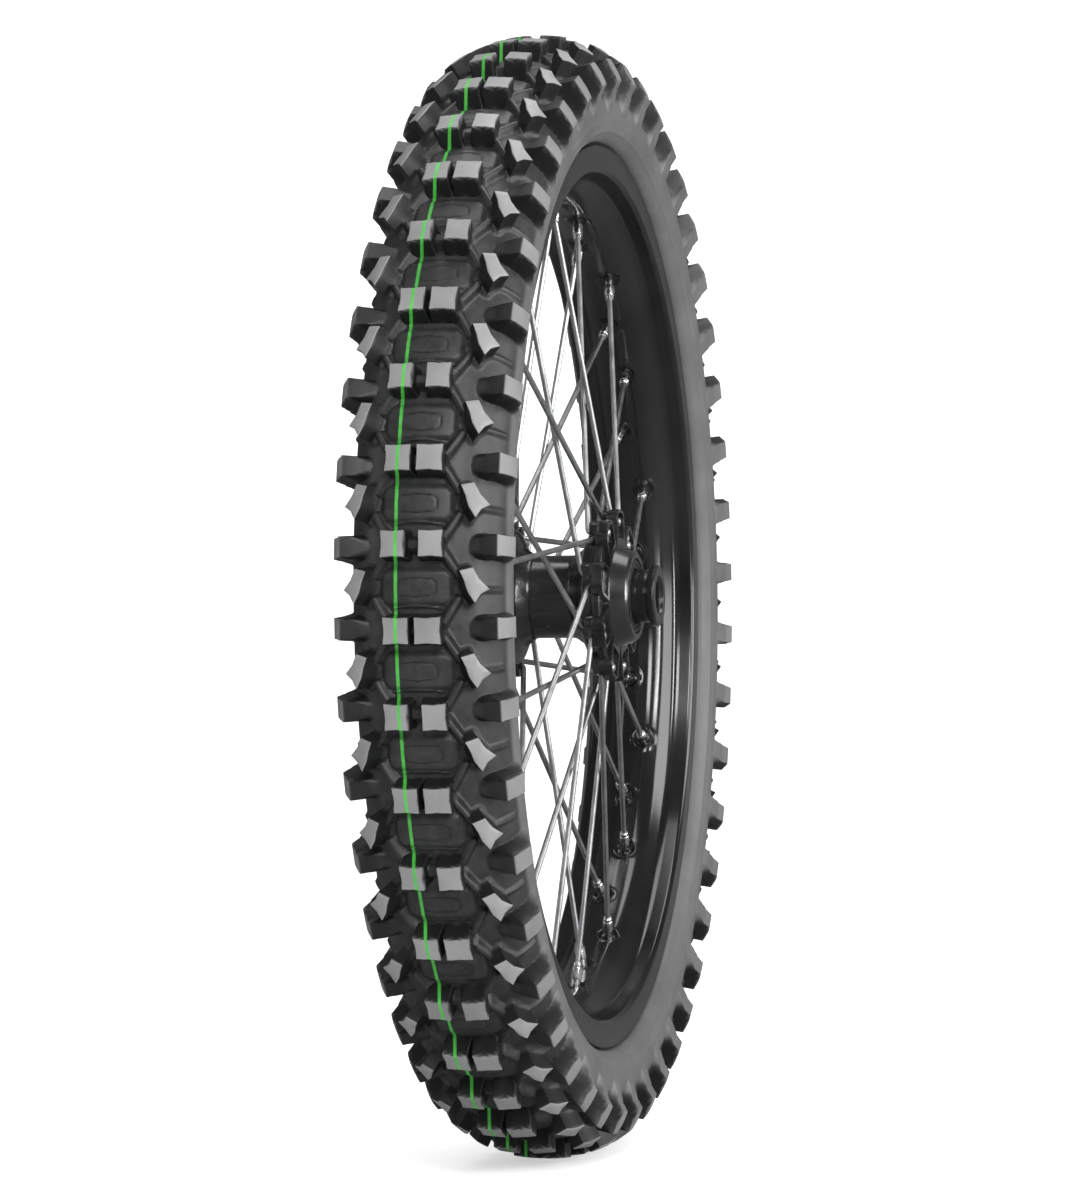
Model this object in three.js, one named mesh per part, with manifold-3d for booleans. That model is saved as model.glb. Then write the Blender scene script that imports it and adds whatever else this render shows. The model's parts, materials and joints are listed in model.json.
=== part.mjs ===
// Off-road motorcycle front wheel: laced 21 inch wheel with a knobbly tube-type tyre.
// Units are millimetres. The wheel spins about +Y, +Z is up and the origin is the wheel centre.
// The +Y side is called right. Angles round the wheel run from +X towards +Z.
import * as THREE from "three";
import { mergeVertices } from "three/addons/utils/BufferGeometryUtils.js";
import Module from "manifold-3d";

const wasm = await Module();
wasm.setup();
const { union } = wasm.Manifold;
const rad = THREE.MathUtils.degToRad;

// ---------------------------------------------------------------- shared dimensions
const GAP = 0.3; // clearance between fitted parts
const FLATNESS = 0.1; // facets closer to one plane than this are drawn as one
const WELD = 1e-4; // vertices closer than this are joined

const WELL_INNER_R = 248.8; // face of the rim well that the nipples leave
const VALVE_A = rad(-4.4); // angular place of the valve, midway between two nipples

const LOBES = 9; // spoke lobes on each flange, two spokes to a lobe
const RIGHT_LOBE_A = 10.6; // angular place of the first lobe of each flange, degrees
const LEFT_LOBE_A = 0.6;
const FLANGE_PCR = 47; // radius of the spoke hole circle in a flange
const FLANGE_FACE = 38.4; // outer face of each flange, where the spoke heads sit
const SPOKE_R = 1.75;

const BEARING_OD_R = 21;
const BEARING_WIDTH = 12;
const RIGHT_SEAT = 33; // distance of each bearing seat's inner face from the centre plane
const LEFT_SEAT = 31;
const AXLE_BORE_R = 11;

// ---------------------------------------------------------------- materials
const MATERIALS = {
  rubber: { color: 0x1d1d1e, roughness: 0.85, metalness: 0 },
  black: { color: 0x151517, roughness: 0.35, metalness: 0.6 },
  steel: { color: 0xc9ccd0, roughness: 0.28, metalness: 1 },
  bright: { color: 0xdfe1e4, roughness: 0.2, metalness: 1 },
  band: { color: 0x2a2623, roughness: 0.9, metalness: 0 },
  tube: { color: 0x18181a, roughness: 0.7, metalness: 0 },
  seal: { color: 0x101011, roughness: 0.6, metalness: 0 },
  brass: { color: 0xb49a56, roughness: 0.35, metalness: 1 },
  cap: { color: 0x141414, roughness: 0.5, metalness: 0 },
};

// ---------------------------------------------------------------- helpers
// A Manifold solid from an indexed geometry, turned right side out if its faces point inwards.
function solid(geometry) {
  const bare = new THREE.BufferGeometry();
  bare.setAttribute("position", geometry.toNonIndexed().getAttribute("position"));
  const welded = mergeVertices(bare, WELD);
  const vertProperties = welded.attributes.position.array;
  const triVerts = new Uint32Array(welded.index.array);
  const build = () =>
    new wasm.Manifold(new wasm.Mesh({ numProp: 3, vertProperties, triVerts }));
  const shape = build();
  if (shape.volume() >= 0) return shape;
  for (let i = 0; i < triVerts.length; i += 3) {
    [triVerts[i + 1], triVerts[i + 2]] = [triVerts[i + 2], triVerts[i + 1]];
  }
  return build();
}

const group = new THREE.Group();
function add(name, shape, kind) {
  const data = shape.setTolerance(FLATNESS).asOriginal().simplify(FLATNESS).getMesh();
  const geometry = new THREE.BufferGeometry();
  geometry.setAttribute("position", new THREE.BufferAttribute(data.vertProperties, 3));
  geometry.setIndex(new THREE.BufferAttribute(data.triVerts, 1));
  geometry.computeVertexNormals();
  const mesh = new THREE.Mesh(geometry, new THREE.MeshStandardMaterial(MATERIALS[kind]));
  mesh.name = name;
  group.add(mesh);
}

// Point at an angle round the wheel, a radius and an axial y.
const at = (angle, radius, y) =>
  new THREE.Vector3(radius * Math.cos(angle), y, radius * Math.sin(angle));

// A ring about Y from a closed profile of [radius, y] points.
function ring(profile, segments) {
  const points = [...profile, profile[0]].map(([radius, y]) => new THREE.Vector2(radius, y));
  return solid(new THREE.LatheGeometry(points, segments));
}
const tubeRing = (innerR, outerR, y0, y1, segments) =>
  ring([[innerR, y0], [outerR, y0], [outerR, y1], [innerR, y1]], segments);

// A half profile followed by its reflection in the centre plane; points on the plane stay single.
const mirrored = (half) => [
  ...half,
  ...half.filter(([, y]) => y !== 0).reverse().map(([radius, y]) => [radius, -y]),
];

// A capped skin through outlines, each a list of the same number of points in the same order.
function loft(outlines) {
  const sides = outlines[0].length;
  const last = (outlines.length - 1) * sides;
  const index = [];
  for (let start = 0; start < last; start += sides) {
    for (let k = 0; k < sides; k++) {
      const near = start + k;
      const nearNext = start + ((k + 1) % sides);
      index.push(near, nearNext, nearNext + sides, near, nearNext + sides, near + sides);
    }
  }
  for (let k = 1; k < sides - 1; k++) {
    index.push(0, k + 1, k);
    index.push(last, last + k, last + k + 1);
  }
  return solid(new THREE.BufferGeometry().setFromPoints(outlines.flat()).setIndex(index));
}

// A round bar through stations of [centre, radius]; the cross-section frame follows the path.
function sweep(stations, sides) {
  let reference = null;
  const outlines = stations.map(([centre, radius], i) => {
    const tangent = new THREE.Vector3();
    if (i > 0) tangent.add(centre.clone().sub(stations[i - 1][0]).normalize());
    if (i < stations.length - 1) {
      tangent.add(stations[i + 1][0].clone().sub(centre).normalize());
    }
    tangent.normalize();
    reference ??= Math.abs(tangent.y) > 0.9
      ? new THREE.Vector3(0, 0, 1)
      : new THREE.Vector3(0, 1, 0);
    const across = reference.clone();
    across.sub(tangent.clone().multiplyScalar(reference.dot(tangent))).normalize();
    reference = across;
    const normal = new THREE.Vector3().crossVectors(tangent, across);
    return Array.from({ length: sides }, (_, k) => {
      const turn = (2 * Math.PI * k) / sides;
      return centre.clone()
        .addScaledVector(across, radius * Math.cos(turn))
        .addScaledVector(normal, radius * Math.sin(turn));
    });
  });
  return loft(outlines);
}
const bar = (from, to, radius, sides) => sweep([[from, radius], [to, radius]], sides);

// A bar along the valve's radial line, through stations of [distance from wheel centre, radius].
const alongValve = (stations, sides) =>
  sweep(stations.map(([distance, radius]) => [at(VALVE_A, distance, 0), radius]), sides);
const valveBore = (start, end, radius, sides = 8) =>
  alongValve([[start, radius], [end, radius]], sides);

// ---------------------------------------------------------------- tyre
const TYRE_R = 350; // nominal tyre radius over the centre knobs
const ROWS = 46; // tread pitches round the tyre, one to a carcass facet
const TYRE_CLOCKING = 1.41; // degrees that the tyre is turned on the rim

// Right half of the carcass, [radius, y].
const TYRE_HALF = [
  // outside, from between the centre knobs down the sidewall
  [337, 0], [334.6, 19.6], [327.0, 33.0], [306.5, 45.4], [286.6, 41.2], [283.4, 32.4],
  [279.8, 26.9],
  // bead
  [268.9, 26.6], [267.9, 21.0],
  // cavity
  [275, 21.4], [292, 38.0], [311, 38.4], [328.4, 14],
];

// Knobs are blocks between a bottom and a top, each given by its edge nearer the centre plane
// and its edge farther from it: [radius, y, half angle in degrees].
const centreKnob = (nearY, farY) => ({
  bottom: [[333, nearY - 0.6, 1.5], [332, farY + 1.4, 1.5]],
  top: [[TYRE_R + 0.05, nearY, 1.15], [348.6, farY, 1.15]],
});
const WIDE_GAP_KNOB = centreKnob(4.0, 17.4);
const NARROW_GAP_KNOB = centreKnob(1.8, 16.2);
const SHOULDER_KNOB = {
  bottom: [[325.5, 28.5, 1.5], [306.5, 43.0, 1.55]],
  top: [[333.6, 45.4, 1.08], [322.3, 50.9, 1.08]],
};
const INTERMEDIATE_KNOB = {
  bottom: [[328, 23.5, 1.8], [319, 36.0, 0.8]],
  top: [[347.0, 23.6, 1.5], [338.8, 39.2, 0.3]],
};

function knob(angle, side, { bottom, top }) {
  const outline = (edges) => {
    const [[near0, near1], [far0, far1]] = edges.map(([radius, y, half]) => [
      at(angle - rad(half), radius, side * y),
      at(angle + rad(half), radius, side * y),
    ]);
    const corners = [near0, near1, far1, far0];
    return side > 0 ? corners : corners.reverse();
  };
  return loft([outline(bottom), outline(top)]);
}

function tyre() {
  const pitch = (2 * Math.PI) / ROWS;
  const knobs = [];
  for (let row = 0; row < ROWS; row++) {
    const angle = (row + 0.5) * pitch; // middle of a carcass facet
    for (const side of [1, -1]) {
      knobs.push(knob(angle, side, row % 2 === 0 ? WIDE_GAP_KNOB : NARROW_GAP_KNOB));
      knobs.push(knob(angle, side, SHOULDER_KNOB));
      knobs.push(knob(angle + pitch / 2, side, INTERMEDIATE_KNOB));
    }
  }
  return union([ring(mirrored(TYRE_HALF), ROWS), ...knobs]).rotate([0, TYRE_CLOCKING, 0]);
}

// ---------------------------------------------------------------- inner tube and rim band
const TUBE_CENTRE_R = 297.5;
const TUBE_HALF_HEIGHT = 27.5; // radial
const TUBE_OUTER_HALF_WIDTH = 24; // axial, beyond the centre radius
const TUBE_INNER_HALF_WIDTH = 20; // axial, within the centre radius
const TUBE_WALL = 2.3;
const TUBE_SECTION_SIDES = 8;
const TUBE_SEGMENTS = 26;

function tubeBody(inset) {
  const profile = [];
  for (let k = 0; k < TUBE_SECTION_SIDES; k++) {
    const turn = (2 * Math.PI * (k + 0.5)) / TUBE_SECTION_SIDES;
    const rise = Math.sin(turn);
    const halfWidth = (rise > 0 ? TUBE_OUTER_HALF_WIDTH : TUBE_INNER_HALF_WIDTH) - inset;
    profile.push([
      TUBE_CENTRE_R + rise * (TUBE_HALF_HEIGHT - inset),
      Math.cos(turn) * halfWidth,
    ]);
  }
  return ring(profile, TUBE_SEGMENTS);
}

// The hole is the one that the valve opens into.
const innerTube = () =>
  tubeBody(0).subtract(tubeBody(TUBE_WALL)).subtract(valveBore(262, 285, 3.0));

// The band lies over the nipple heads.
const rimBand = () =>
  tubeRing(259.2, 260.8, -9.6, 9.6, 36).subtract(valveBore(250, 270, 4.6));

// ---------------------------------------------------------------- spokes with their nipples
// Every head sits on its lobe's outer face and every elbow leaves the inner face. The lobe is
// stepped, so the spokes of a pair leave at two depths and cross those of the next two lobes
// without touching.
const SWEEP = 50; // degrees from a lobe to the rim holes of its two spokes
const PAIR_HALF_ANGLE = 4.0; // the two spoke holes of a lobe stand this far either side of it
const ELBOW_DEEP = 26.4; // axial place of the two elbows of a pair
const ELBOW_SHALLOW = 31.4;
const NIPPLE_NEAR = 2.6; // axial places of the nipple holes either side of the centre plane
const NIPPLE_FAR = 5.8;
const NIPPLE_R = 3.2;
const NIPPLE_FLARE_R = 4.9; // outer end of the nipple
const NIPPLE_HOLE_R = 4.0;
const HEAD_R = 3.05;
const HEAD_TOP_R = 2.2;
const HEAD_TOP = 2.2; // top of the head above the flange face

const lobes = [];
for (const side of [1, -1]) {
  for (let i = 0; i < LOBES; i++) {
    const angle = rad((360 / LOBES) * i + (side > 0 ? RIGHT_LOBE_A : LEFT_LOBE_A));
    lobes.push({ side, i, angle });
  }
}

// Each spoke: hubPoint gives the point of its flange hole's axis at a distance from the centre
// plane, rimPoint the point of its straight run at a distance beyond the rim well's inner face.
const spokes = lobes.flatMap(({ side, i, angle }) => [1, -1].map((lead) => {
  const number = 2 * i + (lead > 0 ? 1 : 2);
  const hubA = angle + lead * rad(PAIR_HALF_ANGLE);
  const hubPoint = (distance) => at(hubA, FLANGE_PCR, side * distance);
  const elbowY = lead > 0 ? ELBOW_DEEP : ELBOW_SHALLOW;
  const elbow = hubPoint(elbowY);
  const nippleY = side * (lead > 0 ? NIPPLE_NEAR : NIPPLE_FAR);
  const rimHole = at(angle + lead * rad(SWEEP), WELL_INNER_R, nippleY);
  const along = rimHole.clone().sub(elbow).normalize();
  return {
    tag: (side > 0 ? "r" : "l") + String(number).padStart(2, "0"),
    hubPoint,
    elbowY,
    elbowEnd: elbow.clone().addScaledVector(along, 2.2),
    rimPoint: (distance) => rimHole.clone().addScaledVector(along, distance),
  };
}));

const spokeBar = ({ hubPoint, elbowY, elbowEnd, rimPoint }) => sweep([
  // head
  [hubPoint(FLANGE_FACE + HEAD_TOP), HEAD_TOP_R],
  [hubPoint(FLANGE_FACE + GAP), HEAD_R],
  // shank and elbow
  [hubPoint(FLANGE_FACE + GAP - 0.1), SPOKE_R],
  [hubPoint(elbowY + 1.5), SPOKE_R],
  [elbowEnd, SPOKE_R],
  [rimPoint(-14.0), SPOKE_R],
  // nipple
  [rimPoint(-13.2), NIPPLE_R],
  [rimPoint(4.8), NIPPLE_R],
  [rimPoint(7.6), NIPPLE_FLARE_R],
], 6);

// ---------------------------------------------------------------- rim
const RIM_SEGMENTS = 48;
const RIM_LIP_R = 281.5;
const RIM_HALF_WIDTH = 35.5; // 2.15 inch rim over its flanges

// Right half of the rim, [radius, y].
const RIM_HALF = [
  // face towards the hub, from the well to the lip
  [WELL_INNER_R, 0], [249.4, 9.0], [253.4, 15.2], [262.6, 22.8], [264.0, 33.8],
  [266.2, RIM_HALF_WIDTH], [RIM_LIP_R, RIM_HALF_WIDTH],
  // face towards the tyre, back to the well
  [RIM_LIP_R, 32.2], [267.4, 27.6], [266.2, 20.2], [256.6, 13.4], [253.2, 8.4], [252.6, 0],
];

function rim() {
  const cuts = spokes.map(({ rimPoint }) => bar(rimPoint(-7), rimPoint(9), NIPPLE_HOLE_R, 6));
  cuts.push(valveBore(240, 262, 4.5));
  return ring(mirrored(RIM_HALF), RIM_SEGMENTS).subtract(union(cuts));
}

// ---------------------------------------------------------------- valve
const valveStem = () => alongValve([
  [223, 2.6], [231, 2.6], // narrow end towards the hub
  [231.1, 3.9], [267.0, 3.9], // body
  [267.1, 8.0], [268.6, 8.0], // foot
], 12);

const valveNut = () =>
  valveBore(243.6, 248.2, 7.2, 6).subtract(valveBore(242.6, 249.2, 4.25, 12));

const valveCap = () =>
  alongValve([[219, 4.4], [220.5, 5.0], [230.4, 5.0]], 10)
    .subtract(valveBore(222.4, 231.5, 3.0, 12));

// ---------------------------------------------------------------- hub
const HUB_SEGMENTS = 24; // also used for the round parts fitted in it, except the bearings
const HUB_BORE_R = 18.6;
const HUB_BARREL_R = 26;
const SEAT_R = BEARING_OD_R + GAP;
const SEAL_SEAT_R = 23.6;
const FLANGE_R = 48.4;
const LIP_FACE = 41.2; // raised lip round each lobe
const LIP_WIDTH = 2.1;
const LOBE_R = 54.4;
const LOBE_HALF_WIDTH = 10.7;
const LOBE_CHAMFER = 4.6;
const DISC_SEATS = 6;
const DISC_SEAT_A = 20.6; // angular place of the first brake disc seat, degrees
const DISC_SEAT_PCR = 37.2;

// [radius, y]
const HUB_PROFILE = [
  // right end: bearing seat, seal seat, nose
  [HUB_BORE_R, RIGHT_SEAT], [SEAT_R, RIGHT_SEAT], [SEAT_R, 46.8], [SEAL_SEAT_R, 46.8],
  [SEAL_SEAT_R, 51.6], [26.8, 51.6], [28.2, 49.8],
  // right flange, barrel, left flange
  [33.4, FLANGE_FACE], [FLANGE_R, FLANGE_FACE], [FLANGE_R, 33.4], [43, 31], [42, 25], [31, 20],
  [HUB_BARREL_R, 13], [HUB_BARREL_R, -13],
  [31, -20], [42, -25], [43, -31], [FLANGE_R, -33.4], [FLANGE_R, -FLANGE_FACE],
  // left end: nose, seal seat, bearing seat
  [32.4, -FLANGE_FACE], [27.6, -44.8], [26.8, -46], [SEAL_SEAT_R, -46], [SEAL_SEAT_R, -44],
  [SEAT_R, -44], [SEAT_R, -LEFT_SEAT], [HUB_BORE_R, -LEFT_SEAT],
];

// A lobe-shaped block along Y, with its two outer corners chamfered.
function lobeBlock(angle, inset, innerR, y0, y1) {
  const half = LOBE_HALF_WIDTH - inset;
  const outerR = LOBE_R - inset;
  // [distance along the lobe's centre line, distance across it]
  const outline = [
    [innerR, -half], [outerR - LOBE_CHAMFER, -half], [outerR, -half + LOBE_CHAMFER],
    [outerR, half - LOBE_CHAMFER], [outerR - LOBE_CHAMFER, half], [innerR, half],
  ];
  return loft([y0, y1].map((y) => outline.map(([out, across]) =>
    at(angle + Math.atan2(across, out), Math.hypot(out, across), y))));
}

function hubShell() {
  const lips = [];
  const pockets = []; // the two heads of a lobe sit in one
  for (const { side, angle } of lobes) {
    lips.push(lobeBlock(angle, 0, 31, side * 34, side * LIP_FACE));
    pockets.push(lobeBlock(angle, LIP_WIDTH, 36.2, side * FLANGE_FACE, side * 46));
  }
  const bosses = [];
  const holes = [];
  for (const { hubPoint, elbowY } of spokes) {
    bosses.push(bar(hubPoint(elbowY + SPOKE_R + 0.35), hubPoint(36), 7.2, 6));
    holes.push(bar(hubPoint(20), hubPoint(45), 2.35, 6));
  }
  // brake disc seats on the left flange, each with a hole
  for (let k = 0; k < DISC_SEATS; k++) {
    const place = (y) => at(rad((360 / DISC_SEATS) * k + DISC_SEAT_A), DISC_SEAT_PCR, y);
    bosses.push(bar(place(-36), place(-42), 6.6, 10));
    holes.push(bar(place(-30), place(-46), 3.0, 8));
  }
  return ring(HUB_PROFILE, HUB_SEGMENTS)
    .add(union(lips))
    .subtract(union(pockets))
    .add(union(bosses))
    .subtract(union(holes));
}

// ---------------------------------------------------------------- bearings
const BEARING_ID_R = 12.5;
const OUTER_RACE_INNER_R = 18.6;
const INNER_RACE_OUTER_R = 15.0;
const GROOVE_DEPTH = 1.2;
const GROOVE_HALF_WIDTH = 2.4;
const BALLS = 8;
const BALL_R = 2.55;
const RACE_SEGMENTS = 20;

// A race from its plain face to the face with the ball groove.
function race(plainR, grooveFaceR, grooveBottomR, y0, y1) {
  const middle = (y0 + y1) / 2;
  return ring([
    [plainR, y0], [plainR, y1], [grooveFaceR, y1], [grooveFaceR, middle + GROOVE_HALF_WIDTH],
    [grooveBottomR, middle], [grooveFaceR, middle - GROOVE_HALF_WIDTH], [grooveFaceR, y0],
  ], RACE_SEGMENTS);
}

// The balls and the ribbon that spaces them.
function ballCage(middle) {
  const parts = [tubeRing(16.1, 17.5, middle - 1.3, middle + 1.3, 16)];
  for (let k = 0; k < BALLS; k++) {
    const centre = at((2 * Math.PI * k) / BALLS, (BEARING_OD_R + BEARING_ID_R) / 2, middle);
    const ball = new THREE.SphereGeometry(BALL_R, 6, 4);
    parts.push(solid(ball.translate(centre.x, centre.y, centre.z)));
  }
  return union(parts);
}

function addBearing(tag, y0) {
  const y1 = y0 + BEARING_WIDTH;
  const outerGrooveR = OUTER_RACE_INNER_R + GROOVE_DEPTH;
  const innerGrooveR = INNER_RACE_OUTER_R - GROOVE_DEPTH;
  const outerRace = race(BEARING_OD_R, OUTER_RACE_INNER_R, outerGrooveR, y0, y1);
  const innerRace = race(BEARING_ID_R, INNER_RACE_OUTER_R, innerGrooveR, y0, y1);
  add("outer_race_" + tag, outerRace, "bright");
  add("inner_race_" + tag, innerRace, "bright");
  add("ball_cage_" + tag, ballCage((y0 + y1) / 2), "bright");
}

// ---------------------------------------------------------------- spacer, circlip, seals, collars
const COLLAR_FACE = 66; // outer face of each collar
const COLLAR_R = 16.6;
const COLLAR_RIM_R = 19.2;
const SEAL_OUTER_R = 23.2;
const SEAL_INNER_R = 17.2;
const SEAL_WIDTH = 4.0;

const bearingSpacer = () =>
  tubeRing(AXLE_BORE_R, 14.6, -LEFT_SEAT, RIGHT_SEAT, HUB_SEGMENTS);

// Retaining circlip outboard of the right bearing, open at the top.
function circlip() {
  const opening = bar(new THREE.Vector3(0, 44, 20), new THREE.Vector3(0, 49, 20), 4, 8);
  return tubeRing(18.7, 21.0, 45.75, 46.5, HUB_SEGMENTS).subtract(opening);
}

function oilSeal(side, start) {
  const y0 = side * start;
  const y1 = side * (start + SEAL_WIDTH);
  return ring([
    [SEAL_OUTER_R, y0], [SEAL_OUTER_R, y1], [SEAL_INNER_R, y1], [SEAL_INNER_R, y0],
  ], HUB_SEGMENTS);
}

// A collar from just outboard of its bearing to its outer face.
function axleCollar(side, seat) {
  const start = seat + GAP + BEARING_WIDTH + GAP;
  const profile = [
    [AXLE_BORE_R, start], [COLLAR_R, start], [COLLAR_R, COLLAR_FACE - 5.2],
    [COLLAR_RIM_R, COLLAR_FACE - 3.8], [COLLAR_RIM_R, COLLAR_FACE - 0.8],
    [18.4, COLLAR_FACE], [AXLE_BORE_R, COLLAR_FACE],
  ];
  return ring(profile.map(([radius, y]) => [radius, side * y]), HUB_SEGMENTS);
}

// ---------------------------------------------------------------- assembly
add("tyre", tyre(), "rubber");
add("inner_tube", innerTube(), "tube");
add("rim_band", rimBand(), "band");
for (const spoke of spokes) add("spoke_" + spoke.tag, spokeBar(spoke), "steel");
add("rim", rim(), "black");
add("valve_stem", valveStem(), "brass");
add("valve_nut", valveNut(), "bright");
add("valve_cap", valveCap(), "cap");
add("hub_shell", hubShell(), "black");
addBearing("right", RIGHT_SEAT + GAP);
addBearing("left", -LEFT_SEAT - GAP - BEARING_WIDTH);
add("bearing_spacer", bearingSpacer(), "steel");
add("bearing_circlip", circlip(), "steel");
add("oil_seal_right", oilSeal(1, 47.1), "seal");
add("oil_seal_left", oilSeal(-1, 44.3), "seal");
add("axle_collar_right", axleCollar(1, RIGHT_SEAT), "black");
add("axle_collar_left", axleCollar(-1, LEFT_SEAT), "black");

export default group;
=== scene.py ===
"""A spoked wheel with a knobbly tyre: rim, 36 spokes, hub, bearings, inner tube and valve.

The wheel's middle is at the origin and its axle lies along Y, with +Y its right side and +Z up.
Angles round the wheel run from +X towards +Z. The valve points along +X, a little downwards.
Lengths are in millimetres until a mesh is made; lights, camera and materials are in metres.
"""

import json
import math
from collections import namedtuple
from math import cos, pi, radians as rad, sin

import bmesh
import bpy
import numpy as np
from mathutils import Matrix, Vector

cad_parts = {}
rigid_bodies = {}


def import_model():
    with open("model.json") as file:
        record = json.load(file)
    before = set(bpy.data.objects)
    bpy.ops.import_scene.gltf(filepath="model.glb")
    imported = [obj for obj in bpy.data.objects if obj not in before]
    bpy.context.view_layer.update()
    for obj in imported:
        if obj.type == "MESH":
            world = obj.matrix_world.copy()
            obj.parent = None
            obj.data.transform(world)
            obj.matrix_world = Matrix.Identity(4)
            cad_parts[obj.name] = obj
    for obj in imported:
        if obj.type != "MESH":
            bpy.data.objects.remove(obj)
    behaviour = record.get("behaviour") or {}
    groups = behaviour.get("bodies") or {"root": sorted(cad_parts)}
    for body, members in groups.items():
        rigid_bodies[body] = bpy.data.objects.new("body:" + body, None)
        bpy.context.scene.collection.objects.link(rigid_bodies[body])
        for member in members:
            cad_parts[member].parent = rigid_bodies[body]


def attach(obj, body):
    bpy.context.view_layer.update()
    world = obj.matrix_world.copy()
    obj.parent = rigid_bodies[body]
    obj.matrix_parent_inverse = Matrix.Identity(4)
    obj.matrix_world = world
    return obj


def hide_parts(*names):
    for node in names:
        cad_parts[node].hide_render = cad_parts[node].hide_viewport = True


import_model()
for stray in [o for o in bpy.context.scene.objects if o.name in ("Cube", "Light", "Camera")]:
    bpy.data.objects.remove(stray)
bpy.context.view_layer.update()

# ------------------------------------------------------------------ driving dimensions
MM = 0.001  # a millimetre in metres
TYRE_R = 350.0
TREAD_ROWS = 46
FIRST_ROW = rad(2.5)  # angle of the first row of centre blocks

LOBES = 9  # on each hub flange; every lobe holds a pair of spokes
RIGHT_LOBE, LEFT_LOBE = 10.6, 0.6  # angle of the first lobe, degrees
SPOKE_SWEEP = 50.0  # from a lobe's middle to its nipples, degrees
PAIR_HALF = 4.0  # from a lobe's middle to its spoke holes, degrees
SPOKE_R = 1.75
HOLE_CIRCLE_R = 47.0  # circle of the spoke holes
FLANGE_FACE = 38.4  # Y of the flange's outer face, where spoke heads sit
ELBOW_DEEP, ELBOW_SHALLOW = 26.4, 31.4  # Y of the elbows
NIPPLE_NEAR, NIPPLE_FAR = 2.6, 5.8  # Y of the nipples
WELL_INNER_R = 248.8  # innermost face of the rim
VALVE_ANGLE = rad(-4.4)
BALLS = 8


def at(angle, radius, y):
    return np.array([radius * cos(angle), y, radius * sin(angle)])


# ------------------------------------------------------------------ mesh helpers
def mesh_from(name, verts, face_groups):
    """Each face group is an array of faces with the same number of corners."""
    mesh = bpy.data.meshes.new(name)
    verts = np.asarray(verts, np.float64) * MM
    mesh.vertices.add(len(verts))
    mesh.vertices.foreach_set("co", verts.astype(np.float32).ravel())
    loops = np.concatenate([g.ravel() for g in face_groups]).astype(np.int32)
    totals = np.concatenate([np.full(len(g), g.shape[1]) for g in face_groups]).astype(np.int32)
    starts = np.concatenate([[0], np.cumsum(totals)[:-1]]).astype(np.int32)
    mesh.loops.add(len(loops))
    mesh.loops.foreach_set("vertex_index", loops)
    mesh.polygons.add(len(totals))
    mesh.polygons.foreach_set("loop_start", starts)
    mesh.polygons.foreach_set("loop_total", totals)
    mesh.update(calc_edges=True)
    mesh.validate()
    return mesh


def solid_mesh(name, verts, face_groups):
    """A closed mesh whose faces are turned outwards."""
    mesh = mesh_from(name, verts, face_groups)
    bm = bmesh.new()
    bm.from_mesh(mesh)
    bmesh.ops.recalc_face_normals(bm, faces=bm.faces)
    if bm.calc_volume(signed=True) < 0:
        bmesh.ops.reverse_faces(bm, faces=bm.faces)
    bm.to_mesh(mesh)
    bm.free()
    return mesh


def link(name, mesh):
    obj = bpy.data.objects.new(name, mesh)
    bpy.context.scene.collection.objects.link(obj)
    return obj


def joined(name, meshes):
    bm = bmesh.new()
    for mesh in meshes:
        bm.from_mesh(mesh)
    out = bpy.data.meshes.new(name)
    bm.to_mesh(out)
    bm.free()
    return link(name, out)


def boolean(target, tool, operation):
    modifier = target.modifiers.new("b", "BOOLEAN")
    modifier.operation = operation
    modifier.object = tool
    # the exact solver is there for inputs that the manifold one turns down with an empty mesh
    for solver in ("MANIFOLD", "EXACT"):
        modifier.solver = solver
        bpy.context.view_layer.update()
        depsgraph = bpy.context.evaluated_depsgraph_get()
        mesh = bpy.data.meshes.new_from_object(target.evaluated_get(depsgraph))
        if len(mesh.polygons):
            break
    target.modifiers.clear()
    target.data = mesh
    bpy.data.objects.remove(tool)


def shade(obj, angle):
    mesh = obj.data
    mesh.polygons.foreach_set("use_smooth", np.ones(len(mesh.polygons), bool))
    if angle:
        mesh.set_sharp_from_angle(angle=rad(angle))


def grid_faces(rows, columns, wrap_rows=True):
    """Quads between rows of vertices; the columns always close on themselves."""
    row = np.arange(rows if wrap_rows else rows - 1)
    row, col = np.meshgrid(row, np.arange(columns), indexing="ij")
    row2, col2 = (row + 1) % rows, (col + 1) % columns
    corners = [row * columns + col, row2 * columns + col,
               row2 * columns + col2, row * columns + col2]
    return np.stack(corners, -1).reshape(-1, 4)


def capped_faces(rings, sides):
    """Quads between rings, and fans to the two end points that follow the last ring."""
    step = np.arange(sides)
    after = (step + 1) % sides
    first_tip, last_ring = rings * sides, (rings - 1) * sides
    fans = [np.stack([np.full(sides, first_tip), after, step], -1),
            np.stack([np.full(sides, first_tip + 1), last_ring + step, last_ring + after], -1)]
    return grid_faces(rings, sides, wrap_rows=False), np.concatenate(fans)


def fillet(points, radius, steps=3):
    """Rounds the corners of a closed outline, with one radius or a radius for each corner."""
    points = np.array(points, float)
    count, out = len(points), []
    for i, reach in enumerate(np.broadcast_to(radius, count)):
        point = points[i]
        if reach <= 0:
            out.append(tuple(point))
            continue
        back, ahead = points[i - 1] - point, points[(i + 1) % count] - point
        back_len, ahead_len = np.linalg.norm(back), np.linalg.norm(ahead)
        back, ahead = back / back_len, ahead / ahead_len
        half = math.acos(np.clip(back @ ahead, -0.9999, 0.9999)) / 2
        cut = min(reach / max(math.tan(half), 1e-3), 0.46 * back_len, 0.46 * ahead_len)
        for k in range(steps + 1):
            s = k / steps
            out.append(tuple((1 - s) ** 2 * (point + back * cut) + 2 * s * (1 - s) * point
                             + s ** 2 * (point + ahead * cut)))
    return out


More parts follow.
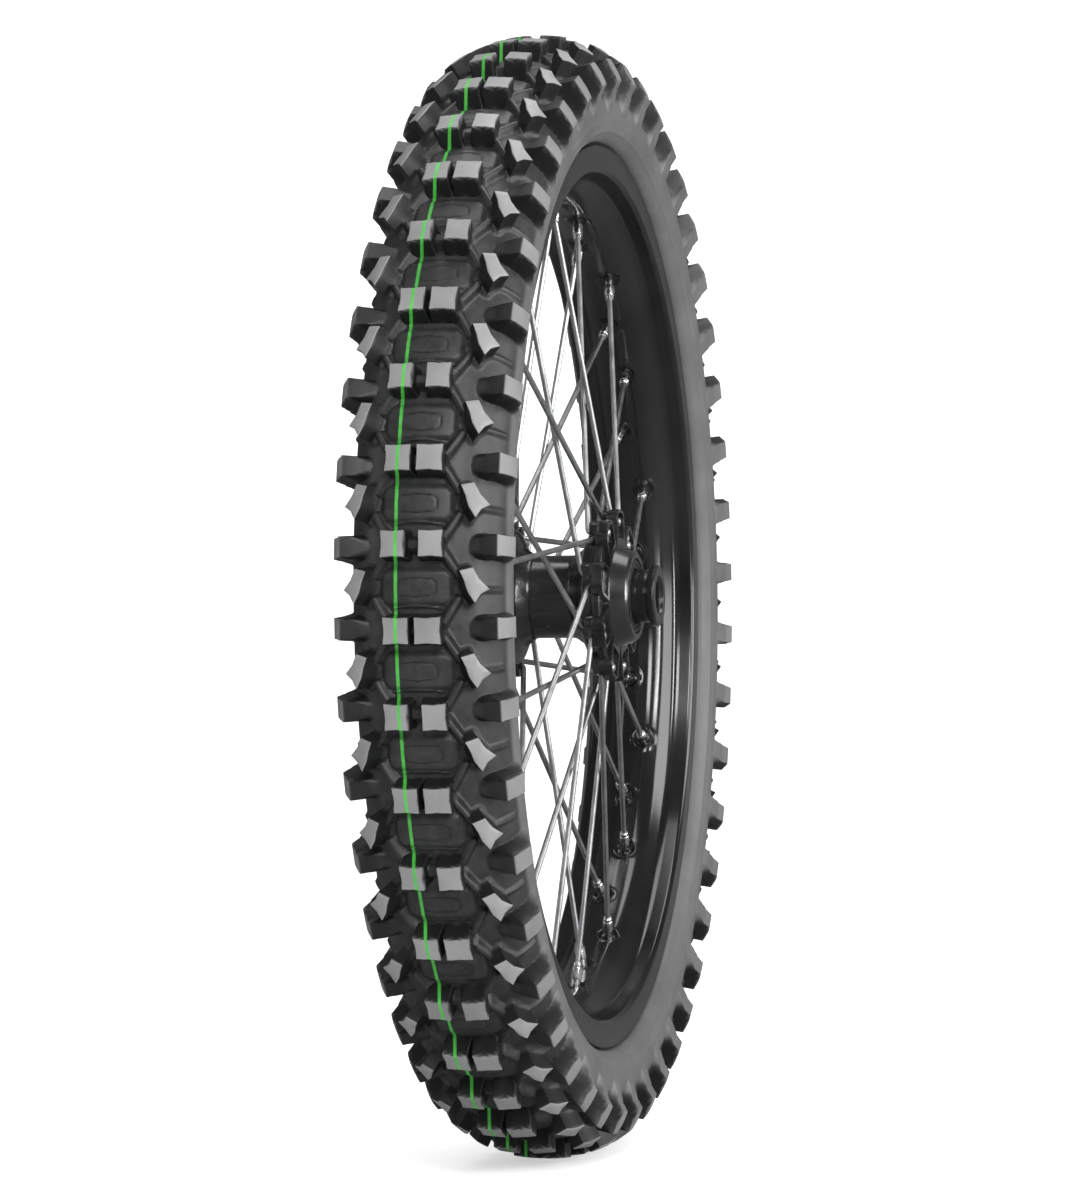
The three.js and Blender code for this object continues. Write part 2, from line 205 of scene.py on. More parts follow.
def fillet_table(table, steps):
    """fillet() for rows of (radius, y, corner radius)."""
    table = np.array(table, float)
    return fillet(table[:, :2], table[:, 2], steps)


def around_axle(angles, radius, y):
    """Vertices of a section carried round Y; radius and y may differ from angle to angle."""
    shape = (len(angles), np.shape(radius)[-1])
    radius, y = np.broadcast_to(radius, shape), np.broadcast_to(y, shape)
    verts = [radius * np.cos(angles)[:, None], y, radius * np.sin(angles)[:, None]]
    return np.stack(verts, -1).reshape(-1, 3)


def ring_mesh(name, angles, radius, y):
    verts = around_axle(angles, radius, y)
    faces = grid_faces(len(angles), np.shape(radius)[-1])
    corners = verts[faces]
    volume = 0.0
    for k in (1, 2):
        normals = np.cross(corners[:, k], corners[:, k + 1])
        volume += np.einsum("ij,ij->i", corners[:, 0], normals).sum()
    return mesh_from(name, verts, [faces if volume > 0 else faces[:, ::-1]])


def lathe_mesh(name, outline, sides):
    radius, y = np.array(outline, float).T
    return ring_mesh(name, np.arange(sides) * 2 * pi / sides, radius, y)


def place(verts, origin, axis, ref=(0, 1, 0)):
    """Local x, y, z become two directions square to axis, and axis."""
    z = np.array(axis, float) / np.linalg.norm(axis)
    x = np.array(ref, float) - z * (np.array(ref) @ z)
    x /= np.linalg.norm(x)
    return verts @ np.array([x, np.cross(z, x), z]) + np.array(origin)


def turned_mesh(name, outline, origin, axis, sides, section=None, ref=(0, 1, 0)):
    """A solid turned about axis from (radius, height) points that start and end on the axis.
    section(phi, ring) scales the radii of a ring, for flats and knurls."""
    phi = np.arange(sides) * 2 * pi / sides
    rings = []
    for i, (radius, z) in enumerate(outline[1:-1]):
        radii = radius * (section(phi, i) if section else np.ones(sides))
        rings.append(np.stack([radii * np.cos(phi), radii * np.sin(phi), np.full(sides, z)], -1))
    tips = np.array([[0, 0, outline[0][1]], [0, 0, outline[-1][1]]])
    verts = place(np.concatenate(rings + [tips]), origin, axis, ref)
    return solid_mesh(name, verts, capped_faces(len(rings), sides))


def swept_mesh(name, path, radii, sides=16):
    path = np.array(path, float)
    tangents = np.gradient(path, axis=0)
    tangents /= np.linalg.norm(tangents, axis=1)[:, None]
    ref = np.array([0, 0, 1.0]) if abs(tangents[0, 1]) > 0.9 else np.array([0, 1.0, 0])
    phi = np.arange(sides) * 2 * pi / sides
    rings = []
    for point, tangent, radius in zip(path, tangents, radii):
        ref = ref - tangent * (ref @ tangent)
        ref /= np.linalg.norm(ref)
        across = np.cross(tangent, ref)
        circle = np.outer(np.cos(phi), ref) + np.outer(np.sin(phi), across)
        rings.append(point + radius * circle)
    verts = np.concatenate(rings + [path[:1], path[-1:]])
    return solid_mesh(name, verts, capped_faces(len(path), sides))


def smoothstep(value, start, end):
    """0 at start, 1 at end."""
    t = np.clip((value - start) / (end - start), 0, 1)
    return t * t * (3 - 2 * t)


def fade(value, start, end):
    """1 at start, 0 at end."""
    return 1 - smoothstep(value, start, end)


# ------------------------------------------------------------------ material helpers
def feed(tree, socket, value):
    """Links value when it is a socket, and sets it otherwise."""
    if isinstance(value, bpy.types.NodeSocket):
        tree.links.new(value, socket)
    else:
        socket.default_value = value


def set_inputs(tree, node, **values):
    """Inputs by name, with _ for a space; anything else is a property of the node."""
    for key, value in values.items():
        label = key.replace("_", " ")
        if label in node.inputs:
            feed(tree, node.inputs[label], value)
        else:
            setattr(node, key, value)


def add_node(tree, kind, **values):
    node = tree.nodes.new(kind)
    set_inputs(tree, node, **values)
    return node


def noise(tree, vector, **settings):
    return add_node(tree, "ShaderNodeTexNoise", Vector=vector, **settings).outputs[0]


def ramp(tree, factor, dark, light, start=0.3, end=0.7):
    node = tree.nodes.new("ShaderNodeValToRGB")
    for stop, position, colour in zip(node.color_ramp.elements, (start, end), (dark, light)):
        stop.position = position
        stop.color = (*colour, 1)
    tree.links.new(factor, node.inputs[0])
    return node.outputs[0]


def map_range(tree, value, from_range=(0.0, 1.0), to_range=(0.0, 1.0)):
    node = add_node(tree, "ShaderNodeMapRange", Value=value,
                    From_Min=from_range[0], From_Max=from_range[1],
                    To_Min=to_range[0], To_Max=to_range[1])
    return node.outputs[0]


def mix(tree, factor, first, second):
    node = tree.nodes.new("ShaderNodeMixRGB")
    for socket, value in zip(node.inputs, (factor, first, second)):
        feed(tree, socket, value)
    return node.outputs[0]


def new_material(name):
    material = bpy.data.materials.new(name)
    material.use_nodes = True
    tree = material.node_tree
    tree.nodes.clear()
    out = tree.nodes.new("ShaderNodeOutputMaterial")
    shader = tree.nodes.new("ShaderNodeBsdfPrincipled")
    tree.links.new(shader.outputs[0], out.inputs[0])
    return material, tree, shader


def surface(name, dark, light, metallic=0.0, rough=(0.3, 0.45), scale=60, fine=900, bump=0.15,
            coat=0.0, stretch=None, specular=0.5):
    """A finish with mottled colour and uneven gloss from noise at scale,
    and a fine grain from noise at fine."""
    material, tree, shader = new_material(name)
    vector = tree.nodes.new("ShaderNodeTexCoord").outputs["Object"]
    if stretch:
        vector = add_node(tree, "ShaderNodeMapping", Vector=vector, Scale=stretch).outputs[0]
    mottle = noise(tree, vector, Scale=scale, Detail=5.0, Roughness=0.6)
    grain = noise(tree, vector, Scale=fine, Detail=3.0, Roughness=0.6)
    colour = ramp(tree, mottle, dark, light)
    gloss = map_range(tree, mottle, from_range=(0.3, 0.7), to_range=rough)
    relief = add_node(tree, "ShaderNodeBump", Strength=bump, Distance=0.05 * MM, Height=grain)
    set_inputs(tree, shader, Base_Color=colour, Roughness=gloss, Metallic=metallic,
               Coat_Weight=coat, Coat_Roughness=0.12, Specular_IOR_Level=specular,
               Normal=relief.outputs[0])
    return material


# ------------------------------------------------------------------ materials
FINISHES = {
    "tube_rubber": dict(dark=(0.012, 0.012, 0.013), light=(0.03, 0.03, 0.032),
                        rough=(0.45, 0.6), bump=0.2),
    "band_rubber": dict(dark=(0.02, 0.019, 0.018), light=(0.05, 0.047, 0.043),
                        rough=(0.7, 0.9), bump=0.3),
    "rim_anodised": dict(dark=(0.005, 0.005, 0.0055), light=(0.010, 0.010, 0.011),
                         rough=(0.13, 0.19), scale=22, fine=1500, bump=0.02, specular=0.55),
    "hub_coating": dict(dark=(0.008, 0.008, 0.009), light=(0.018, 0.018, 0.019),
                        rough=(0.17, 0.3), scale=45, fine=700, bump=0.12, coat=0.4),
    "spoke_wire": dict(dark=(0.42, 0.425, 0.435), light=(0.6, 0.605, 0.61), metallic=1.0,
                       rough=(0.3, 0.42), scale=90, fine=1400, bump=0.08),
    "nipple_plating": dict(dark=(0.58, 0.58, 0.59), light=(0.8, 0.8, 0.8), metallic=1.0,
                           rough=(0.18, 0.34), scale=160, fine=1800, bump=0.1),
    "valve_nickel": dict(dark=(0.42, 0.38, 0.28), light=(0.62, 0.58, 0.46), metallic=1.0,
                         rough=(0.26, 0.42), scale=140, fine=1500, bump=0.1),
    "nut_plating": dict(dark=(0.5, 0.5, 0.51), light=(0.75, 0.75, 0.76), metallic=1.0,
                        rough=(0.2, 0.32), scale=140, fine=1500, bump=0.1),
    "cap_plastic": dict(dark=(0.012, 0.012, 0.012), light=(0.026, 0.026, 0.026),
                        rough=(0.4, 0.55), scale=200, fine=1500, bump=0.2),
    "seal_rubber": dict(dark=(0.010, 0.010, 0.011), light=(0.022, 0.022, 0.023),
                        rough=(0.45, 0.6), scale=120, fine=1500, bump=0.2),
    "collar_anodised": dict(dark=(0.010, 0.010, 0.011), light=(0.018, 0.018, 0.019),
                            metallic=0.2, rough=(0.14, 0.24), scale=60, fine=1800, bump=0.05,
                            coat=0.3),
    "spacer_turned": dict(dark=(0.5, 0.5, 0.51), light=(0.7, 0.7, 0.71), metallic=1.0,
                          rough=(0.3, 0.45), scale=90, fine=1500, bump=0.1, stretch=(1, 6, 1)),
    "bearing_steel": dict(dark=(0.55, 0.56, 0.57), light=(0.74, 0.74, 0.75), metallic=1.0,
                          rough=(0.14, 0.26), scale=120, fine=1800, bump=0.05),
}


def painted_line(tree, position):
    """1 on the wavering line painted round the tread at Y = -8.8 mm, 0 elsewhere."""
    axes = tree.nodes.new("ShaderNodeSeparateXYZ")
    tree.links.new(position, axes.inputs[0])
    x, y, z = axes.outputs
    waver = noise(tree, position, Scale=9, Detail=2.0)

    def calc(operation, first, second):
        node = add_node(tree, "ShaderNodeMath", operation=operation)
        feed(tree, node.inputs[0], first)
        feed(tree, node.inputs[1], second)
        return node.outputs[0]
    radius = calc("SQRT", calc("ADD", calc("MULTIPLY", x, x), calc("MULTIPLY", z, z)), 0)
    # the line runs further from the middle where it crosses a groove, on the side that faces +X
    lean = calc("MULTIPLY", calc("DIVIDE", calc("MAXIMUM", x, 0), radius), 0.24)
    offset = calc("ADD", y, 8.8 * MM)
    depth = calc("SUBTRACT", radius, 349 * MM)
    offset = calc("SUBTRACT", offset, calc("MULTIPLY", depth, lean))
    waver = calc("MULTIPLY", calc("SUBTRACT", waver, 0.5), 0.9 * MM)
    distance = calc("ABSOLUTE", calc("ADD", offset, waver), 0)
    inside = map_range(tree, distance, from_range=(0.75 * MM, 1.1 * MM), to_range=(1.0, 0.0))
    on_tread = calc("GREATER_THAN", radius, 333 * MM)
    return calc("MULTIPLY", calc("MULTIPLY", inside, on_tread), 0.92)


def tyre_material():
    """Rubber coloured by three attributes of the mesh: painted shade on steep walls and engraved
    lines, painted light on the block tops, and a lighter sidewall grey that leaves painted shade in
    the gaps between the shoulder ribs.
    """
    material, tree, shader = new_material("tyre_rubber")
    position = tree.nodes.new("ShaderNodeTexCoord").outputs["Object"]
    big = noise(tree, position, Scale=26, Detail=6.0, Roughness=0.62)
    mid = noise(tree, position, Scale=170, Detail=5.0, Roughness=0.65)
    fine = noise(tree, position, Scale=1600, Detail=2.0)

    def mark(name):
        return add_node(tree, "ShaderNodeAttribute", attribute_name=name).outputs["Fac"]
    carcass = ramp(tree, mid, (0.019, 0.019, 0.02), (0.037, 0.037, 0.038), end=0.72)
    # steep walls and engraved lines go near black: painted shade
    colour = mix(tree, mark("block_wall"), carcass, (0.009, 0.009, 0.0095, 1))
    # block tops are a much lighter grey: painted light
    top = ramp(tree, big, (0.18, 0.18, 0.184), (0.26, 0.26, 0.264), end=0.72)
    # sidewall grey; the gaps between the shoulder ribs are left out of it and keep painted shade
    wall = ramp(tree, big, (0.085, 0.085, 0.087), (0.125, 0.125, 0.127), end=0.72)
    colour = mix(tree, mark("sidewall"), colour, wall)
    colour = mix(tree, mark("tread_top"), colour, top)
    green = ramp(tree, mid, (0.05, 0.36, 0.045), (0.085, 0.52, 0.075))
    colour = mix(tree, painted_line(tree, position), colour, green)
    grain = add_node(tree, "ShaderNodeBump", Strength=0.25, Distance=0.08 * MM, Height=fine)
    relief = add_node(tree, "ShaderNodeBump", Strength=0.2, Distance=0.25 * MM, Height=mid,
                      Normal=grain.outputs[0])
    set_inputs(tree, shader, Base_Color=colour, Specular_IOR_Level=0.45,
               Roughness=map_range(tree, mid, to_range=(0.36, 0.56)),
               Normal=relief.outputs[0])
    return material


MATERIALS = {name: surface(name, **look) for name, look in FINISHES.items()}
MATERIALS["tyre_rubber"] = tyre_material()


def finish_piece(obj, material, body, replaced, angle=32):
    """angle: edges sharper than this, in degrees, are shaded as creases."""
    obj.data.materials.clear()
    obj.data.materials.append(MATERIALS[material])
    shade(obj, angle)
    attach(obj, body)
    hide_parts(replaced)


# ------------------------------------------------------------------ tyre section
# The tread is laid out flat: x is the distance round the wheel, at LAYOUT_R, and y the arc
# length along the carcass section from the middle of the tread.
LAYOUT_R = 345.0
PITCH = 2 * pi * LAYOUT_R / TREAD_ROWS
ROW_ANGLE = 2 * pi / TREAD_ROWS
BLOCK_HEIGHT = 13.3

# (radius, y) on the right half of the carcass, from the middle of the tread to the bead
CARCASS = [
    (336.8, 0), (336.5, 7), (335.6, 13.5), (334.0, 19.6), (331.0, 26.5), (326.5, 33),
    (319.5, 39.2), (311, 43.2), (302.5, 44.8), (294, 43.9), (288.2, 41.4), (284.9, 38.4),
    (283.4, 35.4), (283.0, 32.6), (281.6, 29.4), (279.6, 27.1)]
# (radius, y) from the outside of the right bead round into the cavity
BEAD = [
    (274.5, 26.9), (269.6, 26.8), (268.5, 25.8), (268.0, 23.4), (267.9, 21.4), (270.5, 20.8),
    (275.5, 22.6), (281, 28.4), (287, 34.2), (294, 38.0), (302, 39.6), (311, 38.0),
    (319, 32.4), (325, 23.5), (328, 12.0)]
CAVITY_TOP_R = 329.0
# inner and outer edge of the centre blocks, as distances from the middle; rows take turns
CENTRE_BLOCKS = ((4.1, 17.7), (1.7, 16.5))
# outline of an intermediate block, (across, along) from its middle
BLOCK_OUTLINE = [(-4.3, 8.7), (2.4, 10.5), (5.4, 4.3), (10.3, -1.2), (6.1, -4.1), (3.3, -8.9),
                 (-0.1, -2.9), (-1.8, 3.0)]
BLOCK_MIDDLE = 31.0  # of an intermediate block, from the middle of the tread
# (outset of the outline, height over the carcass, top mark for painted light) up an intermediate
# block
BLOCK_LEVELS = [(3.4, -1.6, 0), (2.3, 0.9, 0), (1.5, 3.4, 0), (0.9, 7.0, 0), (0.4, 11.6, 0),
                (0.18, 12.95, 0), (0.0, 13.25, 1), (-0.4, 13.5, 1), (-3.2, 13.6, 1)]
# stations round half a pitch, closest at the edges of the centre blocks
HALF_STATIONS = [
    0, 1.9, 3.8, 5.0, 5.7, 6.15, 6.6, 7.0, 7.35, 7.75, 8.2, 8.8, 9.5, 10.4, 11.3, 12.2, 13.0,
    13.7, 14.4, 15.1, 15.8, 16.5, 17.2, 17.8, 18.3, 18.8, 19.5, 20.4, 21.4, 22.5]


def catmull(points, per=12):
    points = np.array(points, float)
    points = np.vstack([2 * points[0] - points[1], points, 2 * points[-1] - points[-2]])
    out = []
    for i in range(1, len(points) - 2):
        before, start, end, after = points[i - 1:i + 3]
        for t in np.arange(per) / per:
            out.append(0.5 * ((2 * start) + (-before + end) * t
                              + (2 * before - 5 * start + 4 * end - after) * t ** 2
                              + (-before + 3 * start - 3 * end + after) * t ** 3))
    out.append(points[-2])
    return np.array(out)


base = catmull(CARCASS)
base_arc = np.concatenate([[0], np.cumsum(np.hypot(*np.diff(base, axis=0).T))])
tangent = np.gradient(base, base_arc, axis=0)
tangent /= np.hypot(tangent[:, 0], tangent[:, 1])[:, None]
outward = np.stack([tangent[:, 1], -tangent[:, 0]], -1)
block_top_y = base[:, 1] + BLOCK_HEIGHT * outward[:, 1]
WIDENING = len(base) // 2 + 40  # points of the section that arc_at_width looks through


def arc_at_radius(radius):
    return float(np.interp(-radius, -base[:, 0], base_arc))


def arc_at_width(y):
    """Arc length where the top of a block stands y from the middle."""
    return float(np.interp(y, block_top_y[:WIDENING], base_arc[:WIDENING]))


def section_frame(arcs):
    """Radius, y and outward direction of the carcass."""
    columns = (base[:, 0], base[:, 1], outward[:, 0], outward[:, 1])
    return [np.interp(arcs, base_arc, column) for column in columns]


# shoulder blocks, from the middle outwards
SHOULDER_FOOT, SHOULDER_RIDGE = arc_at_radius(330.2), arc_at_radius(324.4)
SHOULDER_CORNER, RIB_END = arc_at_radius(315.3), arc_at_radius(300.5)


def section_stations():
    """Arc lengths of the mesh lines, closer at the edges of blocks."""
    def near(arc, offsets):
        return {round(arc + offset, 3) for offset in offsets}

    end = base_arc[-1]
    crown_end = arc_at_width(36.0)
    lines = set(np.round(np.arange(0, crown_end, 0.85), 3))
    for edges in CENTRE_BLOCKS:
        for edge in edges:
            lines |= near(arc_at_width(edge), (-1.2, -0.75, -0.25, 0.0, 0.35, 0.75, 1.2))
    lines |= set(np.round(np.arange(crown_end, SHOULDER_CORNER + 3, 0.8), 3))
    lines |= near(SHOULDER_RIDGE, (-1.5, -1.0, -0.5, 0.0, 0.4))
    lines |= near(SHOULDER_CORNER, (-0.5, 0.0, 0.5))
    lines |= set(np.round(np.arange(SHOULDER_CORNER + 3, end, 1.7), 3))
    lines |= near(float(end), (0.0,))
    lines = sorted(line for line in lines if 0 <= line <= end)
    kept = [lines[0]]
    for line in lines[1:]:
        if line - kept[-1] > 0.3:
            kept.append(line)
    kept[-1] = float(end)
    return np.array(kept)


# ------------------------------------------------------------------ tyre relief
def segment_distance(x, y, start, end):
    dx, dy = end[0] - start[0], end[1] - start[1]
    t = np.clip(((x - start[0]) * dx + (y - start[1]) * dy) / (dx * dx + dy * dy), 0, 1)
    return np.hypot(x - start[0] - dx * t, y - start[1] - dy * t)


def outline_distance(outline, x, y):
    """Distance to a closed outline, negative inside it."""
    distance = np.full(x.shape, 1e9)
    inside = np.zeros(x.shape, bool)
    for i, start in enumerate(outline):
        end = outline[(i + 1) % len(outline)]
        distance = np.minimum(distance, segment_distance(x, y, start, end))
        if start[1] != end[1]:
            spans = (start[1] > y) != (end[1] > y)
            crossing = start[0] + (y - start[1]) / (end[1] - start[1]) * (end[0] - start[0])
            inside ^= spans & (x < crossing)
    return np.where(inside, -distance, distance)


def mirrored(half):
    """Closes an outline given for x > 0 with its mirror image."""
    return half + [(-x, y) for x, y in half[::-1]]


def rise(distance, width):
    """1 inside an outline, falling to 0 over width, with a soft foot and a crisp top edge."""
    t = np.clip(1 - distance / width, 0, 1)
    return t * t * (2 - t)


def crease(distance, half_width):
    return np.clip(1 - np.abs(distance) / half_width, 0, 1)


PAD = mirrored([(10.2, -21), (10.2, 16.5), (7.0, 20.2)])
PAD_OVAL = mirrored([(2.6, -11.2), (4.6, -8.5), (5.3, 0), (4.6, 8.5), (2.6, 11.2)])
CENTRE_TIE = mirrored([(3.6, -6), (3.6, 6)])
SHOULDER = mirrored([
    (2.6, SHOULDER_FOOT), (5.6, arc_at_radius(327.2)), (6.2, SHOULDER_RIDGE),
    (5.9, (SHOULDER_RIDGE + SHOULDER_CORNER) / 2), (6.3, SHOULDER_CORNER),
    (7.0, arc_at_radius(311)), (5.0, RIB_END + 1)])
# (arc length, height) down the middle of a shoulder block and its rib
SHOULDER_PROFILE = [
    (SHOULDER_FOOT, 0.0), (arc_at_radius(328.0), 4.6), (SHOULDER_RIDGE, 13.9),
    (SHOULDER_CORNER, 11.4), (arc_at_radius(312.6), 6.6), (arc_at_radius(308.5), 3.8),
    (arc_at_radius(303.5), 1.6), (RIB_END, 0.0)]
MOULDING_LINES = ((296.0, 0.5), (289.4, 0.6))  # (radius, height), low on the sidewall


def pitch_relief(around, across, edges):
    """Height over the carcass, and the three colour marks that paint light and shade, for one pitch
    of the tread.
    """
    x, y = np.meshgrid(around, across, indexing="ij")
    height = np.zeros(x.shape)
    engraved = np.zeros(x.shape)
    block = [(along, arc_at_width(BLOCK_MIDDLE + out)) for out, along in BLOCK_OUTLINE]
    for side in (1, -1):
        gap_x = x - side * PITCH / 2
        # pad between rows, with an engraved oval and a thin raised lip
        pad = outline_distance(PAD, gap_x, y)
        height = np.maximum(height, 2.6 * fade(pad, -2.6, 2.2))
        oval = outline_distance(PAD_OVAL, gap_x, y)
        # the engraved line is darkened further down as painted shade
        engraved = np.maximum(engraved, np.clip(1.25 - np.abs(oval) / 0.42, 0, 1))
        height = height - 0.5 * crease(oval, 0.5) * (pad < -1)
        lip = gap_x + 11.4 - 0.9 * np.cos(y / 21 * pi)
        height = height + 1.0 * crease(lip, 1.0) * fade(y, 17.5, 20.5)
        # diagonal tie to the intermediate block
        tie = segment_distance(x, y, (side * 4.0, arc_at_width(18.0)),
                               (side * 17.0, arc_at_width(27.5)))
        height = np.maximum(height, 5.2 * fade(tie, 0.6, 4.0))
        # hollow between the shoulder blocks
        hollow = (gap_x / 8.5) ** 2 + ((y - arc_at_radius(323.5)) / 6.0) ** 2
        height = height - 2.0 * np.exp(-hollow)
        # ridge from the intermediate block out to the sidewall
        ridge = segment_distance(gap_x, y, (-1.5, arc_at_width(40)), (-1.5, arc_at_radius(314)))
        height = np.maximum(height, 1.7 * fade(ridge, 0.2, 2.8))
        # foot of the intermediate block
        foot = outline_distance(block, gap_x, y)
        height = np.maximum(height, 2.6 * fade(foot, 0.2, 4.2))
    # tie between the two centre blocks of a row
    height = np.maximum(height, 6.0 * fade(outline_distance(CENTRE_TIE, x, y), -0.6, 1.4))
    # centre block with slightly hollow edges
    inner, outer = map(arc_at_width, edges)
    middle = (inner + outer) / 2
    centre = outline_distance([
        (-7.25, inner), (-6.85, middle), (-7.45, outer), (-3, outer - 0.35), (0, outer - 0.65),
        (3, outer - 0.35), (7.45, outer), (6.85, middle), (7.25, inner), (0, inner + 0.35)], x, y)
    height = np.maximum(height, (13.2 + 0.35 * (y / 17) ** 2) * rise(centre, 1.7))
    # painted light on the tops of the centre blocks
    top = fade(centre, -0.25, 0.12)
    # shoulder block: a top, a corner and a rib that runs down the sidewall
    profile = np.interp(y, *zip(*SHOULDER_PROFILE))
    flare = np.clip((y - SHOULDER_CORNER) / (RIB_END - SHOULDER_CORNER), 0, 1)
    shoulder = outline_distance(SHOULDER, x, y)
    height = np.maximum(height, profile * rise(shoulder, 1.8 + 1.6 * flare))
    # weaker painted light on the tops of the shoulder blocks
    top = np.maximum(top, 0.72 * fade(shoulder, -0.25, 0.12)
                     * smoothstep(y, SHOULDER_RIDGE - 0.3, SHOULDER_RIDGE + 0.1)
                     * fade(y, SHOULDER_CORNER - 0.3, SHOULDER_CORNER + 0.3))
    # lighter grey on the rib flanks and the lower sidewall; the gaps between the ribs are left dark
    # as painted shade
    sidewall = (fade(shoulder, -0.3, 0.2)
                * smoothstep(y, SHOULDER_CORNER - 0.2, SHOULDER_CORNER + 0.4))
    sidewall = np.maximum(sidewall, smoothstep(y, arc_at_radius(311.5), arc_at_radius(307.0)))
    for radius, line_height in MOULDING_LINES:
        height = height + line_height * crease(y - arc_at_radius(radius), 1.4)
    # steep places on the tread, and the engraved ovals, are darkened: painted shade
    steepness = np.hypot(*np.gradient(height, around, across))
    wall = smoothstep(steepness, 1.0, 2.4) * fade(y, SHOULDER_CORNER + 0.5, arc_at_radius(309.0))
    return height, top, sidewall, np.maximum(wall, 0.8 * engraved)


def add_marks(mesh, **marks):
    for name, values in marks.items():
        attribute = mesh.attributes.new(name, "FLOAT", "POINT")
        attribute.data.foreach_set("value", values.astype(np.float32))


def carcass_mesh():
    """The whole tyre but for its intermediate blocks, as one closed section round the wheel."""
    across = section_stations()
    around = np.array([-v for v in HALF_STATIONS[:0:-1]] + HALF_STATIONS + [PITCH / 2])
    angles = np.concatenate([FIRST_ROW + i * ROW_ANGLE + around / LAYOUT_R
                             for i in range(TREAD_ROWS)])
    reliefs = [pitch_relief(around, across, edges) for edges in CENTRE_BLOCKS]
    height, *marks = [np.concatenate([reliefs[i % 2][part] for i in range(TREAD_ROWS)])
                      for part in range(4)]
    base_r, base_y, out_r, out_y = section_frame(across)
    out_r[0], out_y[0] = 1.0, 0.0
    radius = np.minimum(base_r + height * out_r, TYRE_R)
    y = base_y + height * out_y
    # right bead, over the tread to the left bead, then back through the cavity
    cavity = [(r, -bead_y) for r, bead_y in BEAD] + [(CAVITY_TOP_R, 0)] + BEAD[::-1]
    cavity_r, cavity_y = np.array(cavity, float).T

    def close(right, left, inside):
        return np.hstack([right[:, :0:-1], left, np.tile(inside, (len(angles), 1))])
    mesh = ring_mesh("tyre_carcass", angles, close(radius, radius, cavity_r),
                     close(y, -y, cavity_y))
    # painted light on the tops, painted shade on the walls and between the ribs; the cavity gets none
    # of the marks
    top, sidewall, wall = [close(m, m, 0 * cavity_r).ravel() for m in marks]
    add_marks(mesh, tread_top=top, sidewall=sidewall, block_wall=wall)
    return mesh


def block_mesh():
    """The intermediate blocks, lofted from one outline."""
    edge = []
    following = BLOCK_OUTLINE[1:] + BLOCK_OUTLINE[:1]
    for (out0, along0), (out1, along1) in zip(BLOCK_OUTLINE, following):
        for t in (0, 1 / 3, 2 / 3):
            edge.append((arc_at_width(BLOCK_MIDDLE + out0 + (out1 - out0) * t),
                         along0 + (along1 - along0) * t))
    edge = np.array(edge)
    centre = edge.mean(0)
    radial = edge - centre
    distance = np.hypot(radial[:, 0], radial[:, 1])[:, None]
    # (arc lengths, places along, height, top mark for painted light, wall mark for painted shade) of
    # each ring and the two tips
    rings = [(*(centre + radial * (1 + outset / distance)).T, height, top, height > 3)
             for outset, height, top in BLOCK_LEVELS]
    rings += [(centre[:1], centre[1:], height, mark, mark) for height, mark in ((-1.6, 0), (13.6, 1))]
    verts = []
    for i in range(TREAD_ROWS):
        for side in (1, -1):
            for arcs, along, height, *_ in rings:
                base_r, base_y, out_r, out_y = section_frame(arcs)
                radius, y = base_r + height * out_r, base_y + height * out_y
                angle = FIRST_ROW + (i + 0.5) * ROW_ANGLE + along / LAYOUT_R
                verts.append(np.stack([radius * np.cos(angle), side * y,
                                       radius * np.sin(angle)], -1))
    verts = np.concatenate(verts)
    starts = range(0, len(verts), len(BLOCK_LEVELS) * len(edge) + 2)
    faces = [np.concatenate([group + start for start in starts])
             for group in capped_faces(len(BLOCK_LEVELS), len(edge))]
    mesh = solid_mesh("blocks", verts, faces)
    top, wall = [np.tile(np.concatenate([np.full(len(r[0]), float(r[column])) for r in rings]),
                         len(starts)) for column in (3, 4)]
    add_marks(mesh, tread_top=top, sidewall=np.zeros(len(verts)), block_wall=wall)
    return mesh


def build_tyre():
    tyre = link("tyre_knobbly", carcass_mesh())
    boolean(tyre, link("blocks", block_mesh()), "UNION")
    finish_piece(tyre, "tyre_rubber", "wheel", "tyre", angle=38)


build_tyre()

# ------------------------------------------------------------------ spoke places
# lead is 1 for spokes that run on round the wheel from their lobe and -1 for those that run
# back; elbow is a distance from the middle, nipple_y is a place along Y
Spoke = namedtuple("Spoke", "side lead hub_angle rim_angle elbow nipple_y tag")


def spoke_list():
    out = []
    for side, letter, first_lobe in ((1, "r", RIGHT_LOBE), (-1, "l", LEFT_LOBE)):
        for i in range(LOBES):
            lobe = rad(360 / LOBES * i + first_lobe)
            for lead, elbow, nipple, number in ((1, ELBOW_DEEP, NIPPLE_NEAR, 1),
                                                (-1, ELBOW_SHALLOW, NIPPLE_FAR, 2)):
                out.append(Spoke(side, lead, lobe + lead * rad(PAIR_HALF),
                                 lobe + lead * rad(SPOKE_SWEEP), elbow, side * nipple,
                                 letter + "%02d" % (2 * i + number)))
    return out


SPOKES = spoke_list()

# ------------------------------------------------------------------ rim
# (radius, y, corner radius) of the right half, from the inner face out and back underneath
RIM_HALF = [
    (WELL_INNER_R, 0, 0), (249.4, 9.0, 16), (253.4, 15.2, 14), (262.6, 22.8, 9),
    (264.0, 33.8, 2.8), (266.2, 35.5, 0.9), (281.5, 35.5, 1.3), (281.5, 32.2, 1.3),
    (267.4, 27.6, 1.8), (266.2, 20.2, 2.2), (256.6, 13.4, 4), (253.2, 8.4, 5), (252.6, 0, 0)]
# stations round the rim, in degrees from each nipple
NIPPLE_STATIONS = [-5, -4.2, -3.4, -2.8, -2.4, -2.1, -1.8, -1.5, -1.2, -0.9, -0.6, -0.3,
                   0, 0.3, 0.6, 0.9, 1.2, 1.5, 1.8, 2.1, 2.4, 2.8, 3.4, 4.2]


